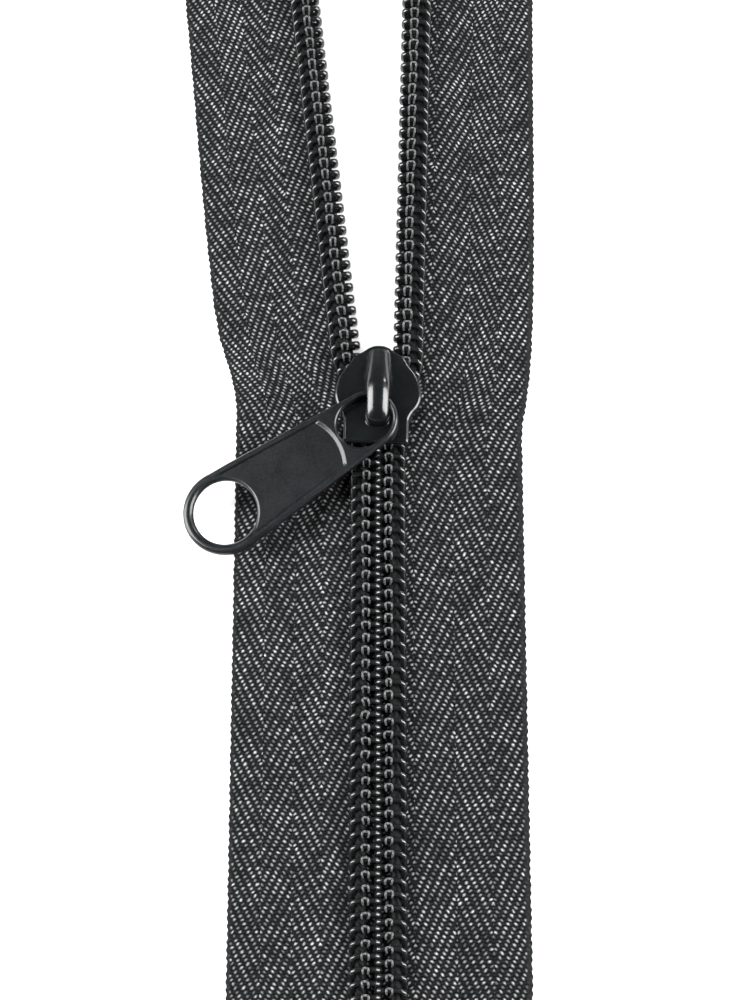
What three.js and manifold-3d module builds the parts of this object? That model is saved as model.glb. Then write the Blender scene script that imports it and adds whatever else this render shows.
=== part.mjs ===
// A nylon coil zipper, zipped as far as its slider and open above it, lying coil side up.
// Millimetres. +X runs across the tapes, +Y along the chain towards the open end, +Z up.
// The origin is the middle of the bottom stop's underside, on the surface the zipper lies on.
import * as THREE from "three";
import { mergeVertices } from "three/addons/utils/BufferGeometryUtils.js";
import Module from "manifold-3d";

// Lengthways, along the chain
const TAPE_START = -18;
const COIL_START = 3.0;
const SLIDER_TAIL = 67.6;
const SLIDER_LENGTH = 10.95;
const TOP_STOP_START = 135.1;
const TAPE_END = 157;

// Tape, measured from the chain's centre line
const TAPE_INNER = 0.45;
const TAPE_OUTER = 15.85;
const TAPE_THICKNESS = 0.55;
const TAPE_LIFT = 1.15; // underside of the tape beside the coil
const DRAPE_START = 5.0; // from here the tape slopes down to the surface
const DRAPE_END = 7.5;

// Coil and threads
const PITCH = 1.38;
const COIL_OUTER = 2.95;
const COIL_INNER = 0.75; // where the heads leave the coil's back
const HEAD_REACH = 0.4; // how far a head passes the centre line
const HEAD_WIDTH = 0.4;
const HEAD_ROOT = 0.68;
const COIL_BOTTOM = 1.75;
const COIL_TOP = 3.8;
const CORD_CENTRE = 1.7;
const CORD_RADIUS = 0.45;
const CORD_ROOM = 0.1;
const SEAM_CENTRE = 1.22;
const LOOP_WIDTH = 0.85;
const THREAD_THICKNESS = 0.16;
const THREAD_GAP = 0.04;

// How the chain parts inside the slider, and how far each open arm leans from the closed line
const SPLIT_START = SLIDER_TAIL + 1.8;
const SPLIT_END = SLIDER_TAIL + 10.2;
const END_GAP = 0.2; // between pieces that follow on from each other
const TRAVEL = 56; // of the slider, up to the top stops
const FLARE = 2.05; // the arms part again at the top, to fit the slider there
const ARMS = {
  left: { side: -1, lean: 0.1135, pivot: 58.8 },
  right: { side: 1, lean: 0.0272, pivot: 4.0 },
};

// End stops. The tapes run through the notches in their profiles.
const STOP_ROOM = 0.08;
const NOTCH_BOTTOM = TAPE_LIFT - STOP_ROOM;
const NOTCH_TOP = TAPE_LIFT + TAPE_THICKNESS + STOP_ROOM;
const STOP_WEB = TAPE_INNER - STOP_ROOM;
const BOTTOM_STOP_HALF = 3.3;
const BOTTOM_STOP_CROWN = 2.6;
const BOTTOM_STOP_TOP = 4.0;
const BOTTOM_STOP_LENGTH = 4.8;
const TOP_STOP_INNER = -0.5;
const TOP_STOP_OUTER = 2.7;
const TOP_STOP_BOTTOM = 0.72;
const TOP_STOP_TOP = 3.9;
const TOP_STOP_LENGTH = 3.2;
const CHAMFER = 0.7;

// Slider. Its outline is measured from the middle of its tail end.
const PLATE = 0.85;
const CHANNEL_TOP = 4.15;
const SLIDER_TOP = 5.05;
const RIM_HEIGHT = 0.25; // of the stepped rim round the top plate
const RIM_INSET = 0.22;
const BOTTOM_INSET = 0.1;
const FLANGE_BOTTOM = 2.05;
const TAIL_HALF = 3.45;
const TAIL_STRAIGHT = 2.5;
const SHOULDER_HALF = 4.72;
const SHOULDER_START = 4.0;
const SHOULDER_WIDEST = 4.9;
const SHOULDER_END = 7.6;
const NECK_HALF = 3.1;
const NECK_DROP = 1.35; // back from the tip of the nose
const NOSE_HALF = 1.6;
const NOSE_DROP = 0.6;
const NOSE_BULGE = 0.5;
const JOINT_OVERLAP = 0.05; // between the slabs that are joined into one casting
const BAIL_WIDTH = 2.5;
const BAIL_TOP = 7.7;
const BAIL_STRAP = 0.83;

// Pull tab, from the middle of its eye's round end
const PULL_LENGTH = 18.45;
const PULL_THICKNESS = 1.2;
const EYE_RADIUS = 2.6;
const EYE_SLOT = 1.05;
const EYE_RIM = 3.2;
const FINGER_RADIUS = 3.5;
const FINGER_RIM = 4.45;
const STEP_START = 4.0;
const STEP_RADIUS = 6.2;
const STEP_ANGLE = 0.47;
const PANEL_RIM = 0.5;
const PANEL_DEPTH = 0.2;
const PULL_EYE = new THREE.Vector3(-1.0, 69.95, 5.855);
const PULL_HEADING = THREE.MathUtils.degToRad(212.5);
const PULL_TILT = THREE.MathUtils.degToRad(5);

const MATERIALS = {
  tape: { color: 0x1b1c1e, roughness: 0.85, metalness: 0 },
  coil: { color: 0x0d0e10, roughness: 0.25, metalness: 0 },
  cord: { color: 0x18191a, roughness: 0.9, metalness: 0 },
  thread: { color: 0x202123, roughness: 0.6, metalness: 0 },
  slider: { color: 0x202426, roughness: 0.35, metalness: 0.6 },
  pull: { color: 0x3c4043, roughness: 0.4, metalness: 0.6 },
  stop: { color: 0x1a1c1e, roughness: 0.35, metalness: 0.6 },
};

const wasm = await Module();
wasm.setup();

function toSolid(geometry) {
  const bare = geometry.index ? geometry.toNonIndexed() : geometry.clone();
  bare.deleteAttribute("normal");
  bare.deleteAttribute("uv");
  const merged = mergeVertices(bare, 1e-4);
  const vertProperties = merged.attributes.position.array;
  const triVerts = new Uint32Array(merged.index.array);
  return new wasm.Manifold(new wasm.Mesh({ numProp: 3, vertProperties, triVerts }));
}

function toGeometry(solid) {
  const { vertProperties, triVerts } = solid.getMesh();
  return new THREE.BufferGeometry()
    .setAttribute("position", new THREE.BufferAttribute(vertProperties, 3))
    .setIndex(new THREE.BufferAttribute(triVerts, 1));
}

function join(pieces) {
  return pieces.map(toSolid).reduce((all, piece) => all.add(piece));
}

function mesh(name, geometry, finish) {
  const made = new THREE.Mesh(geometry, new THREE.MeshStandardMaterial(MATERIALS[finish]));
  made.name = name;
  return made;
}

function outline(points) {
  return new THREE.Shape(points.map(([x, y]) => new THREE.Vector2(x, y)));
}

// A plan outline given height, from bottom to top
function slab(shape, bottom, top, curveSegments = 12) {
  const geometry = new THREE.ExtrudeGeometry(shape, {
    depth: top - bottom,
    bevelEnabled: false,
    curveSegments,
  });
  return geometry.translate(0, 0, bottom);
}

// A profile in X and Z, extruded along +Y
function bar(shape, start, end) {
  const geometry = new THREE.ExtrudeGeometry(shape, { depth: end - start, bevelEnabled: false });
  return geometry.rotateX(Math.PI / 2).translate(0, end, 0);
}

const smooth = (t) => THREE.MathUtils.smoothstep(t, 0, 1);

// The line that the inner parts of one side follow: straight while closed, leaning outwards when open
class ChainLine extends THREE.Curve {
  constructor(arm, start, end) {
    super();
    Object.assign(this, { arm, start, end });
  }
  offset(y) {
    const { side, lean, pivot } = this.arm;
    const parted = smooth((y - SPLIT_START) / (SPLIT_END - SPLIT_START));
    const flared = smooth((y - TRAVEL - SPLIT_START) / (SPLIT_END - SPLIT_START));
    return side * (lean * parted * (y - pivot) + FLARE * flared);
  }
  getPoint(t, target = new THREE.Vector3()) {
    const y = THREE.MathUtils.lerp(this.start, this.end, t);
    return target.set(this.offset(y), y, 0);
  }
  // Sections stay square to +Y, as the weft does where a tape parts from its neighbour
  getTangent(t, target = new THREE.Vector3()) {
    return target.set(0, 1, 0);
  }
  place(y, out) {
    return [this.offset(y) + this.arm.side * out, y];
  }
}

// A section (distance out, height) carried along a chain line
function sweep(line, section, steps) {
  const side = line.arm.side;
  const shape = outline(section.map(([out, z]) => [-z, -side * out]));
  return new THREE.ExtrudeGeometry(shape, { steps, extrudePath: line, bevelEnabled: false });
}

const rectangle = (left, right, bottom, top) => [
  [left, bottom],
  [right, bottom],
  [right, top],
  [left, top],
];

function tapeSection() {
  const under = [
    [TAPE_INNER, TAPE_LIFT],
    [DRAPE_START, TAPE_LIFT],
    [DRAPE_END, 0],
    [TAPE_OUTER, 0],
  ];
  const over = under.map(([out, z]) => [out, z + TAPE_THICKNESS]).reverse();
  return [...under, ...over];
}

// A row of coil turns seen from above, as a comb: heads towards the centre, round bends outside,
// with a tunnel along it for the filler cord. Left and right turns alternate by half a pitch.
function coil(line, steps) {
  const shift = line.arm.side > 0 ? 0 : PITCH / 2;
  const first = Math.ceil((line.start - COIL_START - shift) / PITCH + 0.5);
  const last = Math.floor((line.end - COIL_START - shift) / PITCH - 0.5);
  const heads = [];
  const bends = [];
  for (let turn = first; turn <= last; turn++) {
    const y = COIL_START + shift + turn * PITCH;
    heads.push(line.place(y - HEAD_ROOT / 2, COIL_INNER));
    heads.push(line.place(y - HEAD_WIDTH / 2, -HEAD_REACH));
    heads.push(line.place(y + HEAD_WIDTH / 2, -HEAD_REACH));
    heads.push(line.place(y + HEAD_ROOT / 2, COIL_INNER));
    bends.push(line.place(y - PITCH / 2, COIL_OUTER - 0.2));
    bends.push(line.place(y, COIL_OUTER));
  }
  const comb = slab(outline([...heads, ...bends.reverse()]), COIL_BOTTOM, COIL_TOP);
  const middle = (COIL_BOTTOM + COIL_TOP) / 2;
  const half = CORD_RADIUS + CORD_ROOM;
  const hole = rectangle(CORD_CENTRE - half, CORD_CENTRE + half, middle - half, middle + half);
  const longer = new ChainLine(line.arm, line.start - PITCH, line.end + PITCH);
  const tunnel = toSolid(sweep(longer, hole, steps));
  return toGeometry(toSolid(comb).subtract(tunnel));
}

function fillerSection() {
  const middle = (COIL_BOTTOM + COIL_TOP) / 2;
  const sides = 8;
  return Array.from({ length: sides }, (_, k) => {
    const angle = (2 * Math.PI * k) / sides;
    return [CORD_CENTRE + CORD_RADIUS * Math.cos(angle), middle + CORD_RADIUS * Math.sin(angle)];
  });
}

// Everything woven, coiled and sewn that makes one length of one side
function stringer(name, part, arm, tapeEnds, coilEnds, steps) {
  const tapeLine = new ChainLine(arm, ...tapeEnds);
  const coilLine = new ChainLine(arm, ...coilEnds);
  const seamLow = SEAM_CENTRE - LOOP_WIDTH / 2;
  const seamHigh = SEAM_CENTRE + LOOP_WIDTH / 2;
  const loopBottom = COIL_TOP + THREAD_GAP;
  const loops = rectangle(seamLow, seamHigh, loopBottom, loopBottom + THREAD_THICKNESS);
  const backTop = TAPE_LIFT - THREAD_GAP;
  const back = rectangle(seamLow, seamHigh, backTop - THREAD_THICKNESS, backTop);
  return [
    mesh(`${name}_tape_${part}`, sweep(tapeLine, tapeSection(), steps), "tape"),
    mesh(`${name}_coil_${part}`, coil(coilLine, steps), "coil"),
    mesh(`${name}_filler_cord_${part}`, sweep(coilLine, fillerSection(), steps), "cord"),
    mesh(`${name}_chain_stitch_${part}`, sweep(coilLine, loops, steps), "thread"),
    mesh(`${name}_needle_thread_${part}`, sweep(coilLine, back, steps), "thread"),
  ];
}

// The metal clamp that joins both rows at the lower end of the chain
function bottomStop() {
  const rightSide = [
    [BOTTOM_STOP_HALF, 0],
    [BOTTOM_STOP_HALF, NOTCH_BOTTOM],
    [STOP_WEB, NOTCH_BOTTOM],
    [STOP_WEB, NOTCH_TOP],
    [BOTTOM_STOP_HALF, NOTCH_TOP],
    [BOTTOM_STOP_HALF, BOTTOM_STOP_TOP - CHAMFER],
    [BOTTOM_STOP_CROWN, BOTTOM_STOP_TOP],
  ];
  const leftSide = rightSide.map(([x, z]) => [-x, z]).reverse();
  const end = BOTTOM_STOP_LENGTH / 2;
  return mesh("bottom_stop", bar(outline([...rightSide, ...leftSide]), -end, end), "stop");
}

// The metal clamp at the upper end of one row
function topStop(name, arm) {
  const section = [
    [TOP_STOP_INNER, TOP_STOP_BOTTOM],
    [TOP_STOP_OUTER, TOP_STOP_BOTTOM],
    [TOP_STOP_OUTER, NOTCH_BOTTOM],
    [STOP_WEB, NOTCH_BOTTOM],
    [STOP_WEB, NOTCH_TOP],
    [TOP_STOP_OUTER, NOTCH_TOP],
    [TOP_STOP_OUTER, TOP_STOP_TOP - CHAMFER],
    [TOP_STOP_OUTER - CHAMFER, TOP_STOP_TOP],
    [TOP_STOP_INNER + CHAMFER, TOP_STOP_TOP],
    [TOP_STOP_INNER, TOP_STOP_TOP - CHAMFER],
  ];
  const line = new ChainLine(arm, TOP_STOP_START, TOP_STOP_START + TOP_STOP_LENGTH);
  return mesh(`${name}_top_stop`, sweep(line, section, 1), "stop");
}

// The slider's shield outline: a narrow tail, wide shoulders and a round nose
function shieldShape(inset) {
  const tail = TAIL_HALF - inset;
  const shoulder = SHOULDER_HALF - inset;
  const neck = NECK_HALF - inset;
  const nose = NOSE_HALF - inset / 2;
  const tip = SLIDER_LENGTH - inset;
  const shape = new THREE.Shape();
  shape.moveTo(-tail, inset);
  shape.lineTo(tail, inset);
  shape.lineTo(tail, TAIL_STRAIGHT);
  shape.quadraticCurveTo(shoulder, SHOULDER_START, shoulder, SHOULDER_WIDEST);
  shape.quadraticCurveTo(shoulder, SHOULDER_END, neck, tip - NECK_DROP);
  shape.lineTo(nose, tip - NOSE_DROP);
  shape.quadraticCurveTo(0, tip + NOSE_BULGE, -nose, tip - NOSE_DROP);
  shape.lineTo(-neck, tip - NECK_DROP);
  shape.quadraticCurveTo(-shoulder, SHOULDER_END, -shoulder, SHOULDER_WIDEST);
  shape.quadraticCurveTo(-shoulder, SHOULDER_START, -tail, TAIL_STRAIGHT);
  return shape;
}

// Side wall of the channel, outside the coil on one side, in X and Y
function flangeShape(side) {
  const points = [
    [3.1, 0.15],
    [3.4, 0.15],
    [3.4, 2.55],
    [4.1, 3.55],
    [4.6, 4.9],
    [4.5, 6.2],
    [4.3, 6.2],
    [3.75, 4.8],
    [3.3, 3.3],
    [3.1, 1.9],
  ];
  return outline(points.map(([x, y]) => [side * x, y]));
}

// The wedge that parts the two rows of heads, in X and Y
function dividerShape() {
  const half = [
    [0, 5.6],
    [0.32, 6.4],
    [0.85, 7.9],
    [1.3, 10.0],
    [0.9, 10.5],
  ];
  const mirrored = half.slice(1).map(([x, y]) => [-x, y]);
  return outline([...half, ...mirrored.reverse()]);
}

// The bail: an arch from the tail end to the nose, highest over the pull's eye, in Y and Z
function bailShape() {
  const under = BAIL_TOP - BAIL_STRAP;
  const sunk = SLIDER_TOP - 0.1;
  return outline([
    [1.75, sunk],
    [2.75, sunk],
    [2.75, under - 0.3],
    [3.1, under],
    [6.2, under],
    [7.7, sunk],
    [10.4, sunk],
    [6.5, BAIL_TOP],
    [2.9, BAIL_TOP],
    [1.95, 7.1],
    [1.75, 6.4],
  ]);
}

function sliderBody() {
  const rimBottom = SLIDER_TOP - RIM_HEIGHT;
  const bail = new THREE.ExtrudeGeometry(bailShape(), { depth: BAIL_WIDTH, bevelEnabled: false });
  bail.rotateY(Math.PI / 2).rotateX(Math.PI / 2).translate(-BAIL_WIDTH / 2, 0, 0);
  const body = join([
    slab(shieldShape(BOTTOM_INSET), 0, PLATE, 4),
    slab(shieldShape(0), CHANNEL_TOP, rimBottom, 4),
    slab(shieldShape(RIM_INSET), rimBottom - JOINT_OVERLAP, SLIDER_TOP, 4),
    slab(flangeShape(-1), FLANGE_BOTTOM, CHANNEL_TOP + JOINT_OVERLAP),
    slab(flangeShape(1), FLANGE_BOTTOM, CHANNEL_TOP + JOINT_OVERLAP),
    slab(dividerShape(), PLATE - JOINT_OVERLAP, CHANNEL_TOP + JOINT_OVERLAP),
    bail,
  ]);
  return mesh("slider_body", toGeometry(body), "slider");
}

// The pull's outline: a large round end, a small round end and the two straight sides between
function pullShape() {
  const turn = Math.asin((FINGER_RIM - EYE_RIM) / PULL_LENGTH) + Math.PI / 2;
  const shape = new THREE.Shape();
  shape.absarc(PULL_LENGTH, 0, FINGER_RIM, -turn, turn, false);
  shape.absarc(0, 0, EYE_RIM, turn, 2 * Math.PI - turn, false);
  const finger = new THREE.Path();
  finger.absarc(PULL_LENGTH, 0, FINGER_RADIUS, 0, 2 * Math.PI, true);
  const eye = new THREE.Path();
  eye.absarc(0, 0, EYE_RADIUS, 1.5 * Math.PI, 0.5 * Math.PI, true);
  eye.absarc(EYE_SLOT, 0, EYE_RADIUS, 0.5 * Math.PI, -0.5 * Math.PI, true);
  shape.holes.push(finger, eye);
  return shape;
}

// The sunk panel between the finger hole and the curved step before the eye
function panelShape() {
  const centre = STEP_START + STEP_RADIUS;
  const shape = new THREE.Shape();
  shape.absarc(centre, 0, STEP_RADIUS, Math.PI - STEP_ANGLE, Math.PI + STEP_ANGLE, false);
  shape.lineTo(PULL_LENGTH, PANEL_RIM - FINGER_RIM);
  shape.lineTo(PULL_LENGTH, FINGER_RIM - PANEL_RIM);
  return shape;
}

function pullTab() {
  const half = PULL_THICKNESS / 2;
  const plate = toSolid(slab(pullShape(), -half, half, 16));
  const above = toSolid(slab(panelShape(), half - PANEL_DEPTH, half + PANEL_DEPTH, 8));
  const below = toSolid(slab(panelShape(), -half - PANEL_DEPTH, PANEL_DEPTH - half, 8));
  const made = mesh("pull_tab", toGeometry(plate.subtract(above).subtract(below)), "pull");
  made.position.copy(PULL_EYE);
  made.rotation.set(0, PULL_TILT, PULL_HEADING, "ZYX");
  return made;
}

const zipper = new THREE.Group();
const LOWER_STEPS = 1;
const UPPER_STEPS = 26;
for (const [name, arm] of Object.entries(ARMS)) {
  const low = SPLIT_START - END_GAP;
  const coilEnd = TOP_STOP_START - END_GAP;
  zipper.add(...stringer(name, "lower", arm, [TAPE_START, low], [COIL_START, low], LOWER_STEPS));
  zipper.add(...stringer(name, "upper", arm, [SPLIT_START, TAPE_END], [SPLIT_START, coilEnd], UPPER_STEPS));
  zipper.add(topStop(name, arm));
}
zipper.add(bottomStop());

const slider = new THREE.Group();
slider.position.y = SLIDER_TAIL;
slider.add(sliderBody());
zipper.add(slider, pullTab());

export default zipper;
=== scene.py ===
import math

import bpy
import numpy as np
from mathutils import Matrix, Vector


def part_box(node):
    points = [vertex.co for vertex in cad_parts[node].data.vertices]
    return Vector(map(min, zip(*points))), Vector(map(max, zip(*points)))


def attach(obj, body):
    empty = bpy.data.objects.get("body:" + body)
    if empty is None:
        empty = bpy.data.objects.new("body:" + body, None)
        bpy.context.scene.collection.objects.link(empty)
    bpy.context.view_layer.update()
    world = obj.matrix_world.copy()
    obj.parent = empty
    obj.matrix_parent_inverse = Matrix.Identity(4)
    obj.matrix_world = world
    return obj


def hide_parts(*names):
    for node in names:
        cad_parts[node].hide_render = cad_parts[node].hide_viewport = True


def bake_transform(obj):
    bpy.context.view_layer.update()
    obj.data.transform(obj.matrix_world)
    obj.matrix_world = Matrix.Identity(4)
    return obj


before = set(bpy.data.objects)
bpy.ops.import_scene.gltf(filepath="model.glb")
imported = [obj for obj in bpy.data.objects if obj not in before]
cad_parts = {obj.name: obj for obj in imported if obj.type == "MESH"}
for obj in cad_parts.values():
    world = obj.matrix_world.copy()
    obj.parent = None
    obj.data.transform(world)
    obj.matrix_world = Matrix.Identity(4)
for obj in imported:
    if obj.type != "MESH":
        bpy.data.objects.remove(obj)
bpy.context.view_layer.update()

MM = 0.001
rng = np.random.default_rng(11)


def corner(node, end):
    return np.array(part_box(node)[end]) / MM


# Lengthways
TAPE_START = corner("left_tape_lower", 0)[1]
TAPE_END = corner("left_tape_upper", 1)[1]
SLIDER_TAIL = corner("slider_body", 0)[1]
TOP_STOP_START = corner("left_top_stop", 0)[1]
COIL_START = 3.0
SPLIT_START = SLIDER_TAIL + 1.8
SPLIT_LENGTH = 8.4
TRAVEL = 56.0
FLARE = 2.05

# Tape, measured out from the chain's centre line
TAPE_OUTER = {"left": 15.9, "right": 16.15}
TAPE_INNER = {"left": 0.45, "right": 0.05}
TAPE_THICKNESS = 0.55
TAPE_LIFT = 1.15  # of its underside, beside the coil
SELVEDGE = 15.45
DRAPE_START = 4.7
DRAPE_END = 7.9
WARP_PITCH = 0.215
WEFT_PITCH = {"left": 0.405, "right": 0.425}

# Coil and threads
PITCH = 1.38
WIRE = 0.34
COIL_LOW = 2.09
COIL_HIGH = 3.46
COIL_CORNER = 0.38  # of the middle of the wire
COIL_HEAD = -0.06
HEAD_REACH = 0.34
COIL_BEND = 2.73
CORD_CENTRE = 1.85
SEAM_CENTRE = 1.22
LOOP_HALF = 0.35
THREAD = 0.11

# Slider
TAIL_WIDER = 0.25  # on the left side only
BASE_TOP = 0.85
FLANGE_LOW = 2.05
PLATE_LOW = 4.15
PLATE_TOP = 5.05
WALL_TOP = 4.6  # inside the top plate, which it is merged with
SLIDER_PIVOT = SLIDER_TAIL + 5.2
SLIDER_TWIST = math.radians(-1.4)  # the pull's weight turns it a little in its play
BAIL_HALF = 1.36
BAIL_CROWN = 0.265  # the bail's top falls away from its middle by this times the cube of the distance

# Pull tab, from the middle of the round end of its eye
PULL_EYE = np.array([-1.0, SLIDER_TAIL + 2.35, 5.855])
PULL_HEADING = math.radians(212.95)
PULL_TILT = math.radians(5)
PULL_LENGTH = 18.53
PULL_HALF = 0.6  # of its thickness
EYE_RIM = 3.2
EYE_HOLE = 2.6
EYE_SLOT = 1.05
FINGER_RIM = 4.66
FINGER_HOLE = 3.5
PANEL_RIM = 0.62  # left standing round the sunk panel
PANEL_ARC = 6.2  # radius of the step at the panel's eye end
PANEL_ARC_AT = 10.2
PANEL_SLOPE = 0.38
PANEL_DEPTH = 0.17
GROOVE_DEPTH = 0.08


def smooth(t):
    t = np.clip(t, 0, 1)
    return t * t * (3 - 2 * t)


def curve(*knots, steps=10):
    """Points on a smooth line through knots (Catmull-Rom)."""
    knots = np.array(knots, float)
    padded = np.vstack([2 * knots[0] - knots[1], knots, 2 * knots[-1] - knots[-2]])
    t = np.linspace(0, 1, steps, endpoint=False)[:, None]
    rows = []
    for a, b, c, d in zip(padded[:-3], padded[1:-2], padded[2:-1], padded[3:]):
        rows.append(0.5 * (2 * b + (c - a) * t + (2 * a - 5 * b + 4 * c - d) * t ** 2
                           + (3 * b - a - 3 * c + d) * t ** 3))
    return np.vstack([*rows, knots[-1:]])


# ---------------------------------------------------------------- the open arms

class Arm:
    """One side of the zipper. Its parts are laid out closed and straight, and then opened."""

    def __init__(self, name, side, lean, pivot, lag, pull_in):
        self.name, self.side, self.lean, self.pivot = name, side, lean, pivot
        self.pull_in = curve(*pull_in)
        self.body = name + "_arm"
        self.start = np.array([0.0, SPLIT_START])
        self.turn = SPLIT_LENGTH / (1 + lag ** 2) * np.array([-lag * side, 1.0])

    def share(self, points):
        """How far a point follows the open arm, from 0 to 1."""
        return smooth((points[:, :2] - self.start) @ self.turn / (self.turn @ self.turn))

    def place(self, out, y, z):
        """Points at a distance out from the centre line, where they lie with the arm open."""
        flared = FLARE * smooth((y - SPLIT_START - TRAVEL) / SPLIT_LENGTH)
        closed = np.stack([self.side * (out + flared), y, z], -1).reshape(-1, 3)
        placed = closed.copy()
        for _ in range(14):
            angle = -self.side * self.lean * self.share(placed)
            across, along = closed[:, 0], closed[:, 1] - self.pivot
            placed[:, 0] = np.cos(angle) * across - np.sin(angle) * along
            placed[:, 1] = self.pivot + np.sin(angle) * across + np.cos(angle) * along
        return placed

    def blend(self, piece):
        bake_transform(piece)

    def nodes(self, part):
        return [f"{self.name}_{part}_lower", f"{self.name}_{part}_upper"]


# lag is how much later the outer edge of a tape turns than the chain, for each millimetre out.
# pull_in is how far that edge is drawn in towards the chain, at distances along it, where the
# tape arches a little.
ARMS = [
    Arm("left", -1, 0.1135, 58.8, lag=0.2,
        pull_in=[(-18, 0), (60, 0), (73.5, -0.03), (78, 0.3), (81.5, 0.6), (85, 0.4), (88, 0.25),
                 (100, 0.2), (124, 0.45), (157, 0.5)]),
    Arm("right", 1, 0.0272, 4.0, lag=0.0,
        pull_in=[(-18, 0), (60, 0), (71, 0.05), (74, 0.42), (77, 0.88), (80, 0.8), (86, 0.63),
                 (98, 0.63), (123, 0.96), (157, 1.1)]),
]


# ---------------------------------------------------------------- meshes

def make_mesh(name, points, faces, uv=None):
    """A smooth-shaded object from points in millimetres. uv holds one pair for each point."""
    data = bpy.data.meshes.new(name)
    data.from_pydata((np.asarray(points) * MM).tolist(), [], [list(map(int, f)) for f in faces])
    data.update()
    data.polygons.foreach_set("use_smooth", [True] * len(data.polygons))
    if uv is not None:
        layer = data.uv_layers.new(name="flow")
        loops = np.empty(len(data.loops), int)
        data.loops.foreach_get("vertex_index", loops)
        layer.data.foreach_set("uv", np.asarray(uv)[loops].astype(np.float32).ravel())
    made = bpy.data.objects.new(name, data)
    bpy.context.scene.collection.objects.link(made)
    return made


def strip_faces(rows, columns, closed):
    """Quads between rows of points. A closed row joins its last point to its first."""
    across = np.arange(columns if closed else columns - 1)
    low = (np.arange(rows - 1)[:, None] * columns + across).ravel()
    step = np.where((low % columns) == columns - 1, 1 - columns, 1) if closed else 1
    return np.stack([low, low + step, low + step + columns, low + columns], -1).tolist()


def tube(path, reference, radius, sides, wide=1.0, power=1.0):
    """Points, faces and uv of a tube along a path: wide scales it along reference, and a
    power below 1 squares its section."""
    ahead = np.gradient(path, axis=0)
    ahead /= np.linalg.norm(ahead, axis=1)[:, None]
    first = reference - (ahead @ reference)[:, None] * ahead
    first /= np.linalg.norm(first, axis=1)[:, None]
    second = np.cross(ahead, first)
    angle = np.arange(sides) * 2 * math.pi / sides
    radius = np.broadcast_to(radius, len(path))
    wide = np.broadcast_to(wide, len(path))
    power = np.broadcast_to(power, len(path))[:, None]
    side, rise = (np.sign(v) * np.abs(v) ** power for v in (np.cos(angle), np.sin(angle)))
    points = (path[:, None]
              + (radius * wide)[:, None, None] * side[:, :, None] * first[:, None]
              + radius[:, None, None] * rise[:, :, None] * second[:, None])
    faces = strip_faces(len(path), sides, True)
    faces.append(list(range(sides))[::-1])
    faces.append(list(range(len(path) * sides - sides, len(path) * sides)))
    length = np.concatenate([[0], np.cumsum(np.linalg.norm(np.diff(path, axis=0), axis=1))])
    uv = np.stack(np.broadcast_arrays(length[:, None], angle[None] * radius[:, None]), -1)
    return points.reshape(-1, 3), faces, uv.reshape(-1, 2)


def join_parts(parts):
    """One set of points, faces and uv from several."""
    points, faces, uvs, base = [], [], [], 0
    for p, f, uv in parts:
        points.append(p)
        faces.extend([[i + base for i in face] for face in f])
        uvs.append(uv)
        base += len(p)
    return np.concatenate(points), faces, np.concatenate(uvs)


# ---------------------------------------------------------------- signed fields, for the castings

class Outline:
    """The signed distance to a polygon, negative inside, looked up from a fine grid."""

    STEP = 0.04

    def __init__(self, points, soften=0.0):
        points = np.asarray(points, float)
        margin = 1.6
        self.low = points.min(0) - margin
        size = np.ceil((points.max(0) + margin - self.low) / self.STEP).astype(int) + 1
        axes = [self.low[k] + np.arange(size[k]) * self.STEP for k in range(2)]
        place = np.stack(np.meshgrid(*axes, indexing="ij"), -1).reshape(-1, 2)
        nearest = np.full(len(place), np.inf)
        inside = np.zeros(len(place), bool)
        for a, b in zip(points, np.roll(points, -1, 0)):
            edge, offset = b - a, place - a
            t = np.clip(offset @ edge / max(edge @ edge, 1e-12), 0, 1)
            nearest = np.minimum(nearest, ((offset - t[:, None] * edge) ** 2).sum(1))
            crosses = (a[1] > place[:, 1]) != (b[1] > place[:, 1])
            if a[1] != b[1]:
                at = a[0] + (place[:, 1] - a[1]) / (b[1] - a[1]) * edge[0]
                inside ^= crosses & (place[:, 0] < at)
        self.grid = (np.sqrt(nearest) * np.where(inside, -1, 1)).reshape(size)
        width = int(round(soften / self.STEP))
        for _ in range(3 if width else 0):
            self.grid = self.blur(self.blur(self.grid, width).T, width).T

    @staticmethod
    def blur(grid, width):
        padded = np.pad(grid, ((width, width), (0, 0)), mode="edge")
        total = np.cumsum(np.vstack([np.zeros((1, grid.shape[1])), padded]), 0)
        return (total[2 * width + 1:] - total[:-2 * width - 1]) / (2 * width + 1)

    def __call__(self, a, b):
        size = np.array(self.grid.shape)
        x = np.clip((a - self.low[0]) / self.STEP, 0, size[0] - 1.001)
        y = np.clip((b - self.low[1]) / self.STEP, 0, size[1] - 1.001)
        i, j = x.astype(int), y.astype(int)
        s, t = x - i, y - j
        g = self.grid
        return ((1 - s) * ((1 - t) * g[i, j] + t * g[i, j + 1])
                + s * ((1 - t) * g[i + 1, j] + t * g[i + 1, j + 1]))


def thick(flat, height, radius):
    """A flat field given thickness, with round edges. height is the distance past its faces."""
    a, b = flat + radius, height + radius
    return np.minimum(np.maximum(a, b), 0) + np.hypot(np.maximum(a, 0), np.maximum(b, 0)) - radius


def slab(z, low, high):
    return np.abs(z - (low + high) / 2) - (high - low) / 2


def merge(a, b, fillet):
    h = np.clip(0.5 + 0.5 * (b - a) / fillet, 0, 1)
    return b + (a - b) * h - fillet * h * (1 - h)


def cut(a, b, fillet):
    return -merge(-a, b, fillet)


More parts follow.
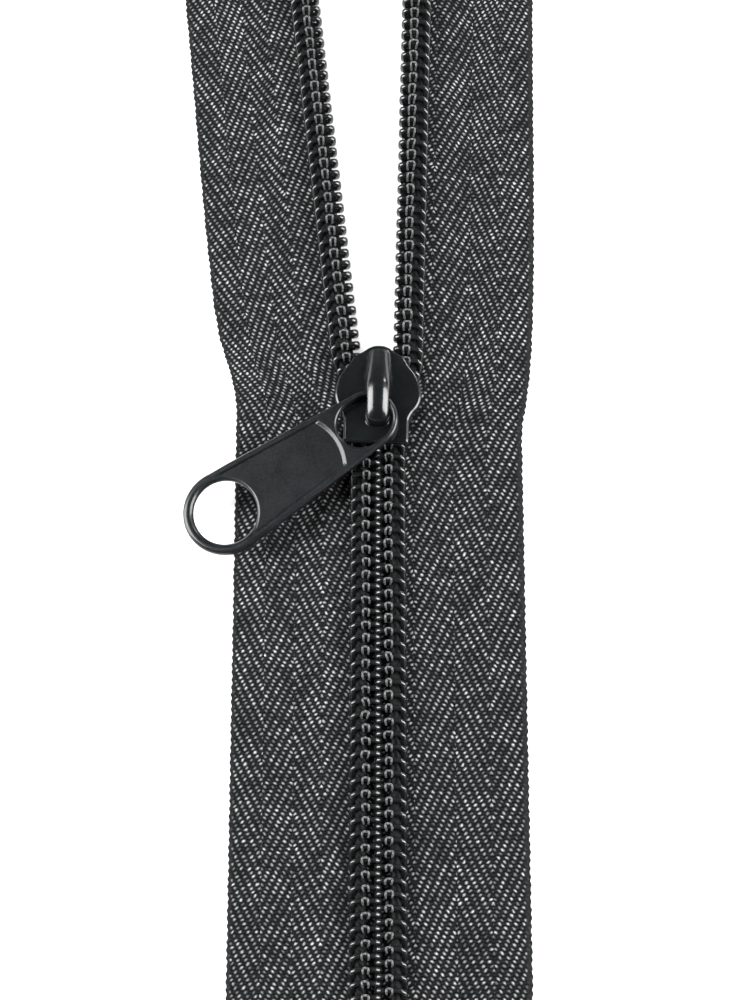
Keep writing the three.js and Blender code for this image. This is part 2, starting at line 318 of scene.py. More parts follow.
def surface(field, low, high, step):
    """Points and quads on a field's zero surface: one point in each grid cell that it crosses."""
    axes = [np.arange(a, b + step, step) for a, b in zip(low, high)]
    grid = np.stack(np.meshgrid(*axes, indexing="ij"), -1)
    values = field(grid.reshape(-1, 3)).reshape(grid.shape[:3])
    cells = np.array(values.shape) - 1
    total = np.zeros((*cells, 3))
    count = np.zeros(cells)
    crossings = []
    for axis in range(3):
        near = [slice(None)] * 3
        far = [slice(None)] * 3
        near[axis], far[axis] = slice(0, -1), slice(1, None)
        a, b = values[tuple(near)], values[tuple(far)]
        at = np.argwhere((a < 0) != (b < 0))
        va, vb = a[tuple(at.T)], b[tuple(at.T)]
        point = grid[tuple(at.T)].copy()
        point[:, axis] += step * va / (va - vb)
        others = [k for k in range(3) if k != axis]
        inner = np.all([(at[:, k] > 0) & (at[:, k] < cells[k]) for k in others], axis=0)
        at, point, va = at[inner], point[inner], va[inner]
        around = []
        for di, dj in ((0, 0), (-1, 0), (-1, -1), (0, -1)):
            cell = at.copy()
            cell[:, others[0]] += di
            cell[:, others[1]] += dj
            np.add.at(total, tuple(cell.T), point)
            np.add.at(count, tuple(cell.T), 1)
            around.append(np.ravel_multi_index(cell.T, cells))
        quad = np.stack(around, -1)
        turned = (va < 0) != (axis == 1)
        crossings.append(np.where(turned[:, None], quad, quad[:, ::-1]))
    used = np.flatnonzero(count.ravel())
    index = np.full(count.size, -1)
    index[used] = np.arange(len(used))
    points = total.reshape(-1, 3)[used] / count.ravel()[used][:, None]
    for _ in range(3):
        value = field(points)
        slope = np.stack([(field(points + d) - field(points - d)) / 0.02
                          for d in np.eye(3) * 0.01], -1)
        move = -slope * (value / np.maximum((slope ** 2).sum(1), 0.05))[:, None]
        length = np.linalg.norm(move, axis=1)[:, None]
        points += move * np.minimum(1, 0.5 * step / np.maximum(length, 1e-9))
    return points, index[np.concatenate(crossings)]


# ---------------------------------------------------------------- materials

class Look:
    """A material and short ways to add the nodes that it is made of."""

    def __init__(self, name, **uniform):
        self.material = bpy.data.materials.new(name)
        self.material.use_nodes = True
        self.tree = self.material.node_tree
        self.shader = self.tree.nodes["Principled BSDF"]
        for socket, value in uniform.items():
            self.shader.inputs[socket.replace("_", " ")].default_value = value

    def feed(self, socket, value):
        if isinstance(value, bpy.types.NodeSocket):
            self.tree.links.new(value, socket)
        else:
            socket.default_value = value

    def set(self, socket, value):
        self.feed(self.shader.inputs[socket], value)

    def node(self, kind, *values, **settings):
        made = self.tree.nodes.new(kind)
        for key, value in settings.items():
            setattr(made, key, value)
        for socket, value in zip(made.inputs, values):
            if value is not None:
                self.feed(socket, value)
        return made

    def math(self, operation, *values, clamp=False):
        return self.node("ShaderNodeMath", *values, operation=operation, use_clamp=clamp).outputs[0]

    def add(self, a, b):
        return self.math("ADD", a, b)

    def times(self, a, b):
        return self.math("MULTIPLY", a, b)

    def ramp(self, value, low, high, start=0.0, end=1.0):
        made = self.node("ShaderNodeMapRange", value, low, high, start, end,
                         interpolation_type="SMOOTHSTEP")
        return made.outputs[0]

    def flow(self):
        """The two coordinates of the piece's own uv map, in millimetres."""
        uv = self.node("ShaderNodeUVMap", uv_map="flow").outputs[0]
        parts = self.node("ShaderNodeSeparateXYZ", uv)
        return uv, parts.outputs[0], parts.outputs[1]

    def combine(self, x, y, z=0.0):
        return self.node("ShaderNodeCombineXYZ", x, y, z).outputs[0]

    def noise(self, vector, scale, detail=2.0, roughness=0.5):
        made = self.node("ShaderNodeTexNoise")
        self.feed(made.inputs["Vector"], vector)
        made.inputs["Scale"].default_value = scale
        made.inputs["Detail"].default_value = detail
        made.inputs["Roughness"].default_value = roughness
        return made.outputs[0]

    def mix(self, share, a, b):
        made = self.node("ShaderNodeMix", data_type="RGBA")
        self.feed(made.inputs["Factor"], share)
        for socket, colour in ((made.inputs[6], a), (made.inputs[7], b)):
            self.feed(socket, colour if isinstance(colour, bpy.types.NodeSocket) else (*colour, 1))
        return made.outputs[2]

    def bump(self, height, distance, strength=1.0):
        made = self.node("ShaderNodeBump")
        made.inputs["Strength"].default_value = strength
        made.inputs["Distance"].default_value = distance * MM
        self.feed(made.inputs["Height"], height)
        self.set("Normal", made.outputs[0])


HERRINGBONE = {
    "left": (-1, (6.05, 9.1, 12.3)),
    "right": (1, (3.8, 8.3, 12.1)),
}


def tape_look(side_name):
    """Herringbone twill, with a painted highlight on each warp float: a small light dot in the base colour."""
    look = Look(side_name + "_tape", Roughness=0.6, Specular_IOR_Level=0.0)
    uv, x, y = look.flow()
    wander = look.noise(uv, 0.9, 3.0)
    sway = look.noise(look.combine(look.times(x, 2.0), look.times(y, 0.35), 7.0), 1.0, 2.0)
    crook = look.noise(look.combine(look.times(x, 2.3), look.times(y, 2.3), 11.0), 1.0, 1.0)
    twist = look.noise(look.combine(look.times(x, 2.3), look.times(y, 2.3), 23.0), 1.0, 1.0)
    aside = look.add(look.times(look.add(sway, -0.5), 0.16), look.times(look.add(crook, -0.5), 0.16))
    ahead = look.add(look.times(look.add(wander, -0.5), 0.30), look.times(look.add(twist, -0.5), 0.20))
    out = look.math("ABSOLUTE", x)
    direction, bands = HERRINGBONE[side_name]
    slant = float(direction)
    for edge in bands:
        flip = look.math("MULTIPLY_ADD", look.math("GREATER_THAN", out, edge), -2.0, 1.0)
        slant = look.times(flip, slant)
    picks = look.times(look.add(y, ahead), 1 / WEFT_PITCH[side_name])
    row = look.math("FLOOR", look.add(picks, 0.5))
    ends = look.times(look.times(look.add(x, aside), 1 / WARP_PITCH), slant)
    repeat = look.times(look.add(ends, row), 0.25)
    crest = look.math("FLOOR", look.add(repeat, 0.5))
    white = look.node("ShaderNodeTexWhiteNoise", noise_dimensions="2D")
    look.feed(white.inputs["Vector"], look.combine(crest, row))
    chance = white.outputs[0]
    across = look.times(look.add(repeat, look.times(crest, -1.0)), 4 * WARP_PITCH)
    along = look.times(look.add(picks, look.times(row, -1.0)), WEFT_PITCH[side_name])
    tip = look.add(look.times(across, 0.75), look.times(along, 0.66))
    flank = look.add(look.times(across, -0.66), look.times(along, 0.75))
    spread = look.add(look.math("POWER", look.times(tip, 1 / 0.155), 2.0),
                      look.math("POWER", look.times(flank, 1 / 0.095), 2.0))
    yarn = look.math("EXPONENT", look.times(spread, -1.0))
    between = look.add(look.math("ABSOLUTE", across), -2 * WARP_PITCH)
    gap = look.add(look.math("POWER", look.times(between, 1 / 0.15), 2.0),
                   look.math("POWER", look.times(along, 1 / 0.11), 2.0))
    weft = look.times(look.math("EXPONENT", look.times(gap, -1.0)), 0.018)
    # Painted highlights: a light dot on each warp float, and a faint one in the gaps between floats, for the
    # base colour.
    warp = look.times(yarn, look.add(look.times(look.math("POWER", chance, 1.3), 0.8), 0.2))
    dot = look.add(warp, weft)
    edge = look.ramp(out, SELVEDGE - 0.15, SELVEDGE + 0.25)
    fuzz = look.noise(look.combine(look.times(x, 2.6), look.times(y, 2.6), 3.0), 1.0, 4.0, 0.65)
    body = look.mix(look.ramp(fuzz, 0.3, 0.7), (0.0010, 0.0011, 0.0012), (0.0062, 0.0067, 0.0071))
    glint_patches = look.ramp(look.noise(uv, 0.25, 2.0), 0.3, 0.7, 0.75, 1.2)
    # The painted highlight dots go into the base colour here, their strength varied at random in patches and
    # weaker at the selvedge.
    painted_glint = look.times(look.times(dot, glint_patches), look.math("SUBTRACT", 1.0, look.times(edge, 0.75)))
    bright = look.mix(look.math("MULTIPLY", painted_glint, 0.95, clamp=True), body, (0.37, 0.379, 0.382))
    grey = look.mix(fuzz, (0.002, 0.0021, 0.0023), (0.024, 0.0247, 0.0254))
    look.set("Base Color", look.mix(look.times(edge, 0.75), bright, grey))
    look.bump(look.add(yarn, look.times(fuzz, 0.4)), 0.07, 0.8)
    return look.material


def wire_look():
    """Glossy black nylon, with fine lines along the wire and cloudy roughness."""
    look = Look("coil_nylon", Specular_IOR_Level=0.8, IOR=1.5)
    uv, along, around = look.flow()
    lines = look.noise(look.combine(look.times(along, 0.25), look.times(around, 9.0)), 1.0, 2.0)
    cloud = look.noise(uv, 1.3, 3.0)
    look.set("Base Color", look.mix(cloud, (0.0035, 0.0038, 0.004), (0.0075, 0.008, 0.0085)))
    look.set("Roughness", look.ramp(look.add(look.times(lines, 0.5), look.times(cloud, 0.5)),
                                    0.3, 0.7, 0.18, 0.27))
    look.bump(lines, 0.006, 0.6)
    return look.material


def thread_look(name, dark, bright, turns=2.4, gloss=1.0):
    """A twisted multifilament thread. Its raised strands are painted lighter in the base colour, a painted
    highlight, with random fibre tone from the hair noise.
    """
    look = Look(name, Roughness=0.5, Specular_IOR_Level=0.5 * gloss, Sheen_Weight=0.15 * gloss,
                Sheen_Roughness=0.4)
    uv, along, around = look.flow()
    twist = look.math("SINE", look.add(look.times(along, turns * 2 * math.pi),
                                       look.times(around, 16.0)))
    hair = look.noise(look.combine(look.times(along, 3.0), look.times(around, 14.0)), 1.0, 3.0)
    height = look.add(look.times(twist, 0.5), look.times(hair, 1.2))
    # Painted highlight: the base colour gets lighter where the twist stands up; the hair noise adds random fibre
    # tone.
    look.set("Base Color", look.mix(look.ramp(height, 0.0, 1.2), dark, bright))
    look.bump(height, 0.02, 0.8)
    return look.material


def enamel_look(name, dark, bright, roughness, grain, coat, specular):
    """Baked enamel on a casting: slight orange peel, faint dust, and rubbed edges."""
    look = Look(name, Specular_IOR_Level=specular, Coat_Weight=coat, Coat_Roughness=0.12)
    place = look.node("ShaderNodeTexCoord").outputs["Object"]
    peel = look.noise(place, 1400.0, 2.0)
    speck = look.noise(place, 5200.0, 2.0, 0.6)
    cloud = look.noise(place, 260.0, 3.0, 0.6)
    edges = look.ramp(look.node("ShaderNodeNewGeometry").outputs["Pointiness"], 0.515, 0.58)
    tone = look.mix(look.ramp(look.add(look.times(cloud, 0.15), look.times(speck, 0.85)), 0.4, 0.6),
                    dark, bright)
    look.set("Base Color", look.mix(look.times(edges, 0.25), tone, tuple(3 * c for c in bright)))
    look.set("Roughness", look.ramp(cloud, 0.3, 0.7, roughness - 0.02, roughness + 0.03))
    look.bump(look.add(peel, look.times(speck, grain)), 0.012, 0.5)
    return look.material


# ---------------------------------------------------------------- woven, coiled and sewn parts

def profile_height(out):
    """The underside of the tape: up beside the coil, down on the surface further out."""
    return TAPE_LIFT * (1 - smooth((out - DRAPE_START) / (DRAPE_END - DRAPE_START)))


def make_tape(arm):
    inner = TAPE_INNER[arm.name]
    edge_steps = np.array([0, 0.04, 0.12, 0.25])
    outer, weft = TAPE_OUTER[arm.name], WEFT_PITCH[arm.name]
    middle = np.linspace(inner + 0.45, outer - 0.45, 50)
    outs = np.concatenate([inner + edge_steps, middle, outer - edge_steps[::-1]])
    ys = np.linspace(TAPE_START, TAPE_END, int((TAPE_END - TAPE_START) / weft * 2))
    y, out = np.meshgrid(ys, outs, indexing="ij")
    past = np.maximum(np.maximum(inner + 0.25 - out, out - outer + 0.25), 0) / 0.25
    half = TAPE_THICKNESS / 2 * np.sqrt(np.clip(1 - past ** 2, 0, 1))
    margin = smooth((out - 6.0) / 5.0)
    wave = ((0.5 + 0.5 * np.sin(y * 0.21 + arm.side + 0.12 * out))
            * (0.5 + 0.5 * np.sin(y * 0.083 + 2 * arm.side)))
    centre = profile_height(out) + TAPE_THICKNESS / 2 + 0.16 * margin * wave
    scallop = 0.075 * np.sin(2 * math.pi * y / (2 * weft)) + 0.03 * np.sin(y * 1.9 + 0.4 * np.sin(y))
    edge_share = smooth((out - outer + 1.2) / 1.2)
    narrowed = np.interp(y, *arm.pull_in.T) * smooth((out - 5.0) / 10.0)
    across = out - 0.105 * edge_share + scallop * edge_share - narrowed
    rib = 0.02 * np.sin(2 * math.pi * (y / (4 * weft) + out / (4 * WARP_PITCH)))
    rows, columns = y.shape
    top = arm.place(across, y, centre + half + rib * (half > 0.2))
    below = arm.place(across, y, centre - half)
    uv = np.stack([arm.side * out, y], -1).reshape(-1, 2)
    keep = (np.arange(rows)[:, None] * columns + np.arange(1, columns - 1)).ravel()
    index = np.full(rows * columns, -1)
    index[keep] = rows * columns + np.arange(len(keep))
    rim = np.concatenate([np.arange(rows) * columns, np.arange(rows) * columns + columns - 1])
    index[rim] = rim
    quads = np.array(strip_faces(rows, columns, False))
    under = index[quads[:, ::-1]]
    ends = []
    for row, flip in ((0, False), (rows - 1, True)):
        first = row * columns + np.arange(columns)
        for a, b in zip(first[:-1], first[1:]):
            face = [a, index[a], index[b], b]
            face = [v for k, v in enumerate(face) if v not in face[:k]]
            ends.append(face if flip else face[::-1])
    if arm.side > 0:
        faces = quads.tolist() + under.tolist() + ends
    else:
        faces = [f[::-1] for f in quads.tolist() + under.tolist() + ends]
    points = np.concatenate([top, below[keep]])
    piece = make_mesh(arm.name + "_tape", points, faces, np.concatenate([uv, uv[keep]]))
    piece.data.materials.append(tape_look(arm.name))
    return piece


def coil_centres(arm):
    """Y of each turn of the coil, from the top down."""
    shift = 0 if arm.side > 0 else PITCH / 2
    count = int((TOP_STOP_START - 0.9 - COIL_START - shift) / PITCH - 0.5)
    return COIL_START + shift + PITCH * np.arange(count, 0, -1)


def coil_profile():
    """The middle of the wire round one turn, seen along the chain: flat above and below,
    round at the head, with tight corners at the bend."""
    middle, half = (COIL_HIGH + COIL_LOW) / 2, (COIL_HIGH - COIL_LOW) / 2
    quarter = np.linspace(0, math.pi / 2, 30)
    bend, c = COIL_BEND - COIL_CORNER, COIL_CORNER
    upper = np.stack([bend + c * np.sin(quarter), COIL_HIGH - c + c * np.cos(quarter)], -1)
    lower = np.stack([bend + c * np.cos(quarter), COIL_LOW + c - c * np.sin(quarter)], -1)
    swing = np.linspace(0, math.pi, 90)
    head = np.stack([COIL_HEAD + HEAD_REACH * (1 - np.sin(swing)), middle - half * np.cos(swing)], -1)
    return np.vstack([head[-1:], upper, lower, head])


def make_coil(arm):
    steps = 44
    profile = coil_profile()
    run = np.concatenate([[0], np.cumsum(np.linalg.norm(np.diff(profile, axis=0), axis=1))])
    half = (COIL_HIGH - COIL_LOW) / 2
    at_bend = run[np.argmax(profile[:, 0] > COIL_BEND - 1e-6)] + half - COIL_CORNER
    centres = coil_centres(arm)
    turn = np.repeat(np.arange(len(centres)), steps)
    share = np.tile(np.arange(steps) / steps, len(centres))
    s = share * run[-1]
    out = np.interp(s, run, profile[:, 0])
    z = np.interp(s, run, profile[:, 1])
    drop = smooth((s - at_bend) / 2.5 + 0.5)
    jitter = np.interp(turn + share, np.arange(len(centres)), rng.normal(0, 0.014, len(centres)))
    y = centres[turn] - PITCH * drop + jitter
    out = out + np.interp(turn + share, np.arange(len(centres)), rng.normal(0, 0.012, len(centres)))
    head = smooth((0.3 - out) / 0.5)
    path = arm.place(out, y, z)
    coil = tube(path, np.array([0.0, 1.0, 0.0]), WIRE, 12, 0.86 + 0.4 * head, 1 - 0.45 * head)
    piece = make_mesh(arm.name + "_coil", *coil)
    piece.data.materials.append(NYLON)
    return piece


def make_cord(arm):
    y = np.arange(COIL_START, TOP_STOP_START - 0.3, 0.23)
    puff = 1 + 0.06 * np.sin(2 * math.pi * y / PITCH) + 0.04 * np.sin(3.7 * y)
    middle = (COIL_HIGH + COIL_LOW) / 2
    path = arm.place(np.full_like(y, CORD_CENTRE), y, np.full_like(y, middle))
    points, faces, uv = tube(path, np.array([1.0, 0.0, 0.0]), 0.34 * puff, 12, 1.7)
    piece = make_mesh(arm.name + "_filler_cord", points, faces, uv)
    piece.data.materials.append(CORD)
    return piece


def make_chain_stitch(arm):
    top = COIL_HIGH + WIRE + 0.7 * THREAD
    parts = []
    for centre in coil_centres(arm):
        half = LOOP_HALF + rng.normal(0, 0.04)
        lean = rng.normal(0, 0.12)
        reach = 0.19 + rng.normal(0, 0.05)
        corner_turn = np.linspace(0, math.pi, 11)
        across, ahead = np.cos(corner_turn), np.sin(corner_turn)
        arc_out = -half * np.sign(across) * np.abs(across) ** 0.6
        arc_y = reach - 0.26 + 0.26 * ahead ** 0.6
        leg_y = np.array([-0.36, -0.35, -0.32, -0.27, -0.21, -0.12])
        leg_out = half * np.array([0.78, 0.82, 0.88, 0.95, 1.0, 1.0])
        leg_z = np.array([-1.0, -0.78, -0.48, -0.20, -0.03, 0.0])
        out = (np.concatenate([-leg_out, arc_out, leg_out[::-1]]) + SEAM_CENTRE
               - 0.1 * arm.side + rng.normal(0, 0.02))
        y = np.concatenate([leg_y, arc_y, leg_y[::-1]])
        out = out + lean * y
        z = top + np.concatenate([leg_z, 0.03 * np.sin(corner_turn), leg_z[::-1]])
        path = arm.place(out, centre + y, z)
        parts.append(tube(path, np.array([0.0, 0.0, 1.0]), THREAD, 8))
    piece = make_mesh(arm.name + "_chain_stitch", *join_parts(parts))
    piece.data.materials.append(THREAD_LOOK)
    return piece


def make_needle_thread(arm):
    y = np.arange(COIL_START + 0.2, TOP_STOP_START - 0.9, PITCH / 12)
    dip = np.cos(2 * math.pi * y / PITCH)
    z = TAPE_LIFT - 0.07 + 0.17 * smooth((dip - 0.55) / 0.4)
    out = SEAM_CENTRE + 0.05 * np.sin(2 * math.pi * y / PITCH) + 0.02 * np.sin(1.3 * y)
    path = arm.place(out, y, z)
    points, faces, uv = tube(path, np.array([1.0, 0.0, 0.0]), THREAD, 10, 1.35)
    piece = make_mesh(arm.name + "_needle_thread", points, faces, uv)
    piece.data.materials.append(THREAD_LOOK)
    return piece


# ---------------------------------------------------------------- castings

def mirrored(half):
    """A closed outline from its right half, given from the bottom up."""
    half = np.asarray(half, float)
    return np.vstack([half, half[::-1] * [-1, 1]])


def shield():
    """The slider seen from above: a narrow tail, wide shoulders and a round nose."""
    side = curve((3.45, 2.7), (3.75, 3.35), (4.35, 4.1), (4.72, 5.1), (4.65, 6.3), (4.2, 7.7),
                 (3.3, 8.95), (2.8, 9.8))
    nose = curve((1.65, 10.48), (1.15, 10.86), (0.58, 11.09), (0.0, 11.16))
    outline = mirrored(np.vstack([[[3.45, 0.0]], side, nose[:-1]]))
    tail = 1 - smooth((outline[:, 1] - 2.6) / 1.4)
    outline[:, 0] -= TAIL_WIDER * (outline[:, 0] < 0) * tail
    return outline


def slider_field():
    top_outline = Outline(shield(), 0.06)
    divider = Outline(mirrored([(0.001, 5.6), (0.32, 6.4), (0.85, 7.9), (1.25, 9.9), (0.9, 10.4)]),
                      0.08)
    wall = [(3.08, 0.1), (3.42, 0.1), (3.42, 2.6), (3.72, 3.3), (4.3, 4.1), (4.66, 5.1), (4.6, 6.3),
            (4.35, 6.3), (4.3, 5.2), (3.78, 4.4), (3.3, 3.3), (3.08, 1.9)]
    flange = Outline(wall, 0.04)
    # Seen from the side: the bail's outside, and the window under it for the pull's eye
    arch = curve((1.72, 5.3), (1.82, 6.0), (2.12, 6.6), (2.75, 7.05), (3.6, 7.36), (4.6, 7.6),
                 (5.6, 7.69), (6.4, 7.6), (7.3, 7.22), (8.4, 6.62), (9.5, 5.95), (10.3, 5.44),
                 (10.8, 5.1), (11.05, 4.92))
    bail = Outline(np.vstack([[[1.8, 4.6]], arch, [[11.05, 4.6]]]), 0.04)
    opening = curve((2.7, 5.4), (2.92, 6.05), (3.5, 6.62), (4.6, 6.94), (5.8, 6.89), (6.75, 6.5),
                    (7.35, 5.8), (7.62, 5.0))
    window = Outline(np.vstack([[[2.66, 4.4]], opening, [[7.65, 4.4]]]), 0.04)

    def field(p):
        x, r, z = p[:, 0], p[:, 1] - SLIDER_TAIL, p[:, 2]
        plan = top_outline(x, r)
        top = thick(plan, slab(z, PLATE_LOW, PLATE_TOP), 0.32)
        base = thick(plan + 0.1, slab(z, 0.0, BASE_TOP), 0.28)
        walls = thick(flange(np.abs(x), r), slab(z, FLANGE_LOW, WALL_TOP), 0.1)
        wedge = thick(divider(x, r), slab(z, 0.4, WALL_TOP), 0.1)
        crown = BAIL_CROWN * np.abs(x) ** 3
        width = BAIL_HALF + 0.16 * smooth((r - 5.5) / 2.5)
        strap_part = thick(bail(r, z) + crown, np.abs(x) - width, 0.3)
        strap_part = cut(strap_part, window(r, z), 0.3)
        whole = merge(top, walls, 0.15)
        whole = merge(whole, merge(base, wedge, 0.2), 0.12)
        return merge(whole, strap_part, 0.15)

    return field


def turned_about_z(angle):
    c, s = math.cos(angle), math.sin(angle)
    return np.array([[c, -s, 0], [s, c, 0], [0, 0, 1]])


def make_slider():
    low = np.array([-4.95, SLIDER_TAIL - 0.2, -0.2])
    high = np.array([4.95, SLIDER_TAIL + 11.4, 7.95])
    points, faces = surface(slider_field(), low, high, 0.076)
    pivot = np.array([0.0, SLIDER_PIVOT, 0.0])
    points = pivot + (points - pivot) @ turned_about_z(SLIDER_TWIST).T
    piece = make_mesh("slider", points, faces)
    piece.data.materials.append(ENAMEL)
    return piece


def pull_field():
    def rounded(a, b):
        """Distance to the outside edge: the two round ends and the straight sides between."""
        slope = (FINGER_RIM - EYE_RIM) / PULL_LENGTH
        run = math.sqrt(1 - slope ** 2)
        b = np.abs(b)
        k = -slope * a + run * b
        end = a * run + b * slope
        side = k - EYE_RIM
        near_eye = np.hypot(a, b) - EYE_RIM
        near_finger = np.hypot(a - PULL_LENGTH, b) - FINGER_RIM
        return np.where(end < 0, near_eye, np.where(end > PULL_LENGTH * run, near_finger, side))

    def field(p):
        a, b, c = p.T
        outside = rounded(a, b)
        finger = np.hypot(a - PULL_LENGTH, b) - FINGER_HOLE
        eye = np.hypot(a - np.clip(a, 0, EYE_SLOT), b) - EYE_HOLE
        plan = np.maximum(np.maximum(outside, -finger), -eye)
        step = np.where(a < PANEL_ARC_AT, np.hypot(a - PANEL_ARC_AT, b), np.abs(b)) - PANEL_ARC
        side = outside + PANEL_RIM
        fade = 1 - smooth((a - 16.6) / 1.6)
        sunk = np.clip(-step / PANEL_SLOPE, 0, 1) * smooth(-side / 0.14) * fade
        groove = np.exp(-((side + 0.1) / 0.09) ** 2) * fade * smooth(-step / 0.2)
        roundness = 0.32 + 0.2 * smooth((a - 15.0) / 3.0)
        half = PULL_HALF - PANEL_DEPTH * sunk - GROOVE_DEPTH * groove
        return thick(plan, np.abs(c) - half, roundness)

    return field


def make_pull():
    low, high = (-3.5, -4.9, -0.9), (23.4, 4.9, 0.9)
    points, faces = surface(pull_field(), low, high, 0.07)
    c, s = math.cos(PULL_TILT), math.sin(PULL_TILT)
    tilt = np.array([[c, 0, s], [0, 1, 0], [-s, 0, c]])
    turn = turned_about_z(PULL_HEADING) @ tilt
    piece = make_mesh("pull", PULL_EYE + points @ turn.T, faces)
    piece.data.materials.append(PULL_ENAMEL)
    return piece


def make_bottom_stop():
    section = Outline([(-3.3, 0), (3.3, 0), (3.3, 1.05), (0.4, 1.05), (0.4, 1.78), (3.3, 1.78),
                       (3.3, 3.1), (3.1, 3.6), (2.6, 3.98), (-2.6, 3.98), (-3.1, 3.6), (-3.3, 3.1), (-3.3, 1.78),
                       (-0.4, 1.78), (-0.4, 1.05), (-3.3, 1.05)], 0.06)

    def field(p):
        x, y, z = p.T
        clip = thick(section(x, z), np.abs(y) - 2.39, 0.22)
        groove = np.hypot(np.abs(y) - 1.15, z - 4.35) - 0.52
        return cut(clip, groove, 0.15)

    points, faces = surface(field, (-3.6, -2.7, -0.3), (3.6, 2.7, 4.3), 0.1)
    piece = make_mesh("bottom_clip", points, faces)
    piece.data.materials.append(ENAMEL)
    return piece


def make_top_stop(arm):
    section = Outline([(-0.48, 0.74), (2.68, 0.74), (2.68, 1.07), (0.4, 1.07), (0.4, 1.78),
                       (2.68, 1.78), (2.68, 3.15), (2.4, 3.65), (1.9, 3.88), (0.3, 3.88),
                       (-0.2, 3.65), (-0.48, 3.2)], 0.05)

    def field(p):
        out, y, z = p.T
        clip = thick(section(out, z), np.abs(y - TOP_STOP_START - 1.6) - 1.59, 0.18)
        groove = np.hypot(y - TOP_STOP_START - 1.6, z - 4.25) - 0.55
        return cut(clip, groove, 0.15)

    low = (-0.75, TOP_STOP_START - 0.3, 0.45)
    high = (3.0, TOP_STOP_START + 3.5, 4.2)
    points, faces = surface(field, low, high, 0.09)
    if arm.side < 0:
        faces = faces[:, ::-1]
    piece = make_mesh(arm.name + "_top_clip", arm.place(*points.T), faces)
    piece.data.materials.append(ENAMEL)
    return piece


# ---------------------------------------------------------------- put together

NYLON = wire_look()
CORD = thread_look("cord_spun", (0.0010, 0.0011, 0.0012), (0.0070, 0.0075, 0.0080),
                   turns=0.8, gloss=0.1)
THREAD_LOOK = thread_look("looper_thread", (0.005, 0.0052, 0.0056), (0.115, 0.118, 0.121))
ENAMEL = enamel_look("slider_enamel", (0.0020, 0.0026, 0.0028), (0.0035, 0.0043, 0.0047),
                     roughness=0.24, grain=0.3, coat=0.35, specular=0.45)
PULL_ENAMEL = enamel_look("pull_enamel", (0.0014, 0.0019, 0.0022), (0.0056, 0.0067, 0.0075),
                          roughness=0.3, grain=0.9, coat=0.2, specular=0.34)

SOFT_PARTS = {
    "tape": (make_tape, "tape"),
    "coil": (make_coil, "coil"),
    "filler_cord": (make_cord, "cord"),
    "chain_stitch": (make_chain_stitch, "thread"),
    "needle_thread": (make_needle_thread, "thread"),
}
for arm in ARMS:
    for part, (make, slot) in SOFT_PARTS.items():
        piece = make(arm)
        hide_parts(*arm.nodes(part))
        arm.blend(piece)
    stop = make_top_stop(arm)
    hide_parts(arm.name + "_top_stop")
    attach(stop, arm.body)

for piece, node, body, slot in (
    (make_bottom_stop(), "bottom_stop", "chain", "stop"),
    (make_slider(), "slider_body", "slider", "slider"),
    (make_pull(), "pull_tab", "pull", "pull"),
):
    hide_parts(node)
    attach(piece, body)


# ---------------------------------------------------------------- floor, light and camera

def make_floor():
    look = Look("pale_floor", Roughness=0.9, Specular_IOR_Level=0.2)
    place = look.node("ShaderNodeTexCoord").outputs["Object"]
    look.set("Base Color", look.mix(look.noise(place, 9.0), (0.68, 0.68, 0.68), (0.71, 0.71, 0.71)))
    size, drop = 900.0, 0.02
    points = [(-size, -size, -drop), (size, -size, -drop), (size, size, -drop), (-size, size, -drop)]
    floor = make_mesh("floor", points, [(0, 1, 2, 3)])
    floor.data.materials.append(look.material)


def make_backdrop():
    """White ground and sky beyond the lit floor. Only the camera sees them, so they light nothing."""
    look = Look("white_backdrop", Base_Color=(0, 0, 0, 1), Specular_IOR_Level=0.0,
                Emission_Color=(1, 1, 1, 1), Emission_Strength=1.0)
    inner, outer, sides = 300.0, 4000.0, 64
    centre = [0, 68, 0]
    rise = np.linspace(0, math.pi / 2, 16)
    radius = np.concatenate([[inner], outer * np.cos(rise)])
    height = np.concatenate([[0.0], outer * np.sin(rise)])
    angle = np.arange(sides) * 2 * math.pi / sides
    rings = np.broadcast_arrays(radius[:, None] * np.cos(angle), radius[:, None] * np.sin(angle),
                                height[:, None])
    points = np.stack(rings, -1).reshape(-1, 3) + centre
    backdrop = make_mesh("backdrop", points, strip_faces(len(radius), sides, True))
    backdrop.data.materials.append(look.material)
    backdrop.visible_diffuse = backdrop.visible_glossy = backdrop.visible_transmission = False
    backdrop.visible_shadow = backdrop.visible_volume_scatter = False


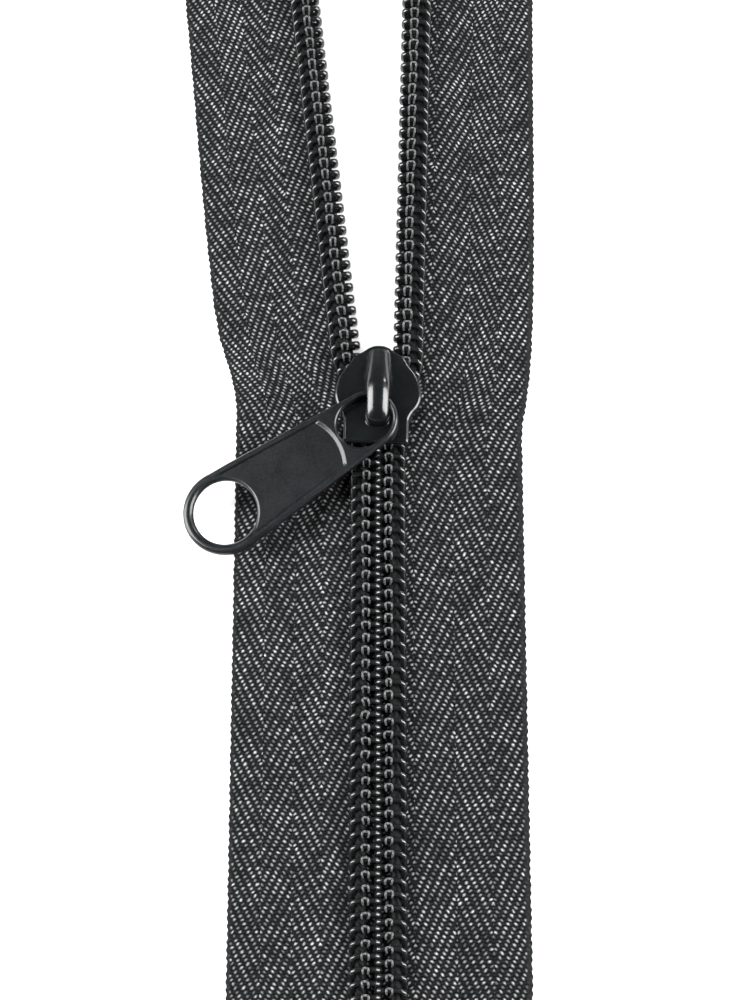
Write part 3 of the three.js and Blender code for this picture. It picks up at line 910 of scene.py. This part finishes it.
def make_light(name, place, target, size, energy):
    data = bpy.data.lights.new(name, "AREA")
    data.shape = "RECTANGLE"
    data.size, data.size_y = (s * MM for s in size)
    data.energy = energy
    light = bpy.data.objects.new(name, data)
    bpy.context.scene.collection.objects.link(light)
    aim(light, place, target)
    return light


def aim(thing, place, target, up="Y"):
    place, target = Vector(place) * MM, Vector(target) * MM
    thing.location = place
    thing.rotation_euler = (target - place).to_track_quat("-Z", up).to_euler()


make_floor()
make_backdrop()
middle = (0, 68, 2)
for name, place, size, energy in (
    ("left_box", (-400, 60, 270), (320, 500), 7.4),
    ("right_box", (400, 20, 270), (320, 500), 7.4),
    ("back_box", (290, 390, 250), (120, 120), 0.85),
):
    make_light(name, place, middle, size, energy)
fill = make_light("overhead_fill", (-80, 280, 420), middle, (200, 200), 2.4)
fill.visible_glossy = False  # it opens up the shadows, and the castings' flat tops stay dark


def make_world():
    """A dim studio, a little lighter near the horizon than overhead."""
    world = bpy.data.worlds.new("studio")
    world.use_nodes = True
    tree = world.node_tree
    direction = tree.nodes.new("ShaderNodeTexCoord")
    parts = tree.nodes.new("ShaderNodeSeparateXYZ")
    strength = tree.nodes.new("ShaderNodeMapRange")
    strength.interpolation_type = "SMOOTHSTEP"
    for socket, value in zip(strength.inputs[1:5], (0.2, 0.8, 0.10, 0.02)):
        socket.default_value = value
    tree.links.new(direction.outputs["Generated"], parts.inputs[0])
    tree.links.new(parts.outputs[2], strength.inputs[0])
    tree.links.new(strength.outputs[0], tree.nodes["Background"].inputs[1])
    tree.nodes["Background"].inputs[0].default_value = (1, 1, 1, 1)
    bpy.context.scene.world = world


make_world()
bpy.context.scene.view_settings.view_transform = "Standard"

CAMERA_PLACE = np.array([-0.33, 12.9, 198.5])
CAMERA_TILT = math.radians(14)
camera_data = bpy.data.cameras.new("camera")
camera_data.sensor_width = 36.0
camera_data.lens = 66.5
camera_data.clip_start = 0.01
camera = bpy.data.objects.new("camera", camera_data)
camera.location = (CAMERA_PLACE * MM).tolist()
camera.rotation_euler = (CAMERA_TILT, 0, 0)
bpy.context.scene.collection.objects.link(camera)
bpy.context.scene.camera = camera

bpy.context.view_layer.update()
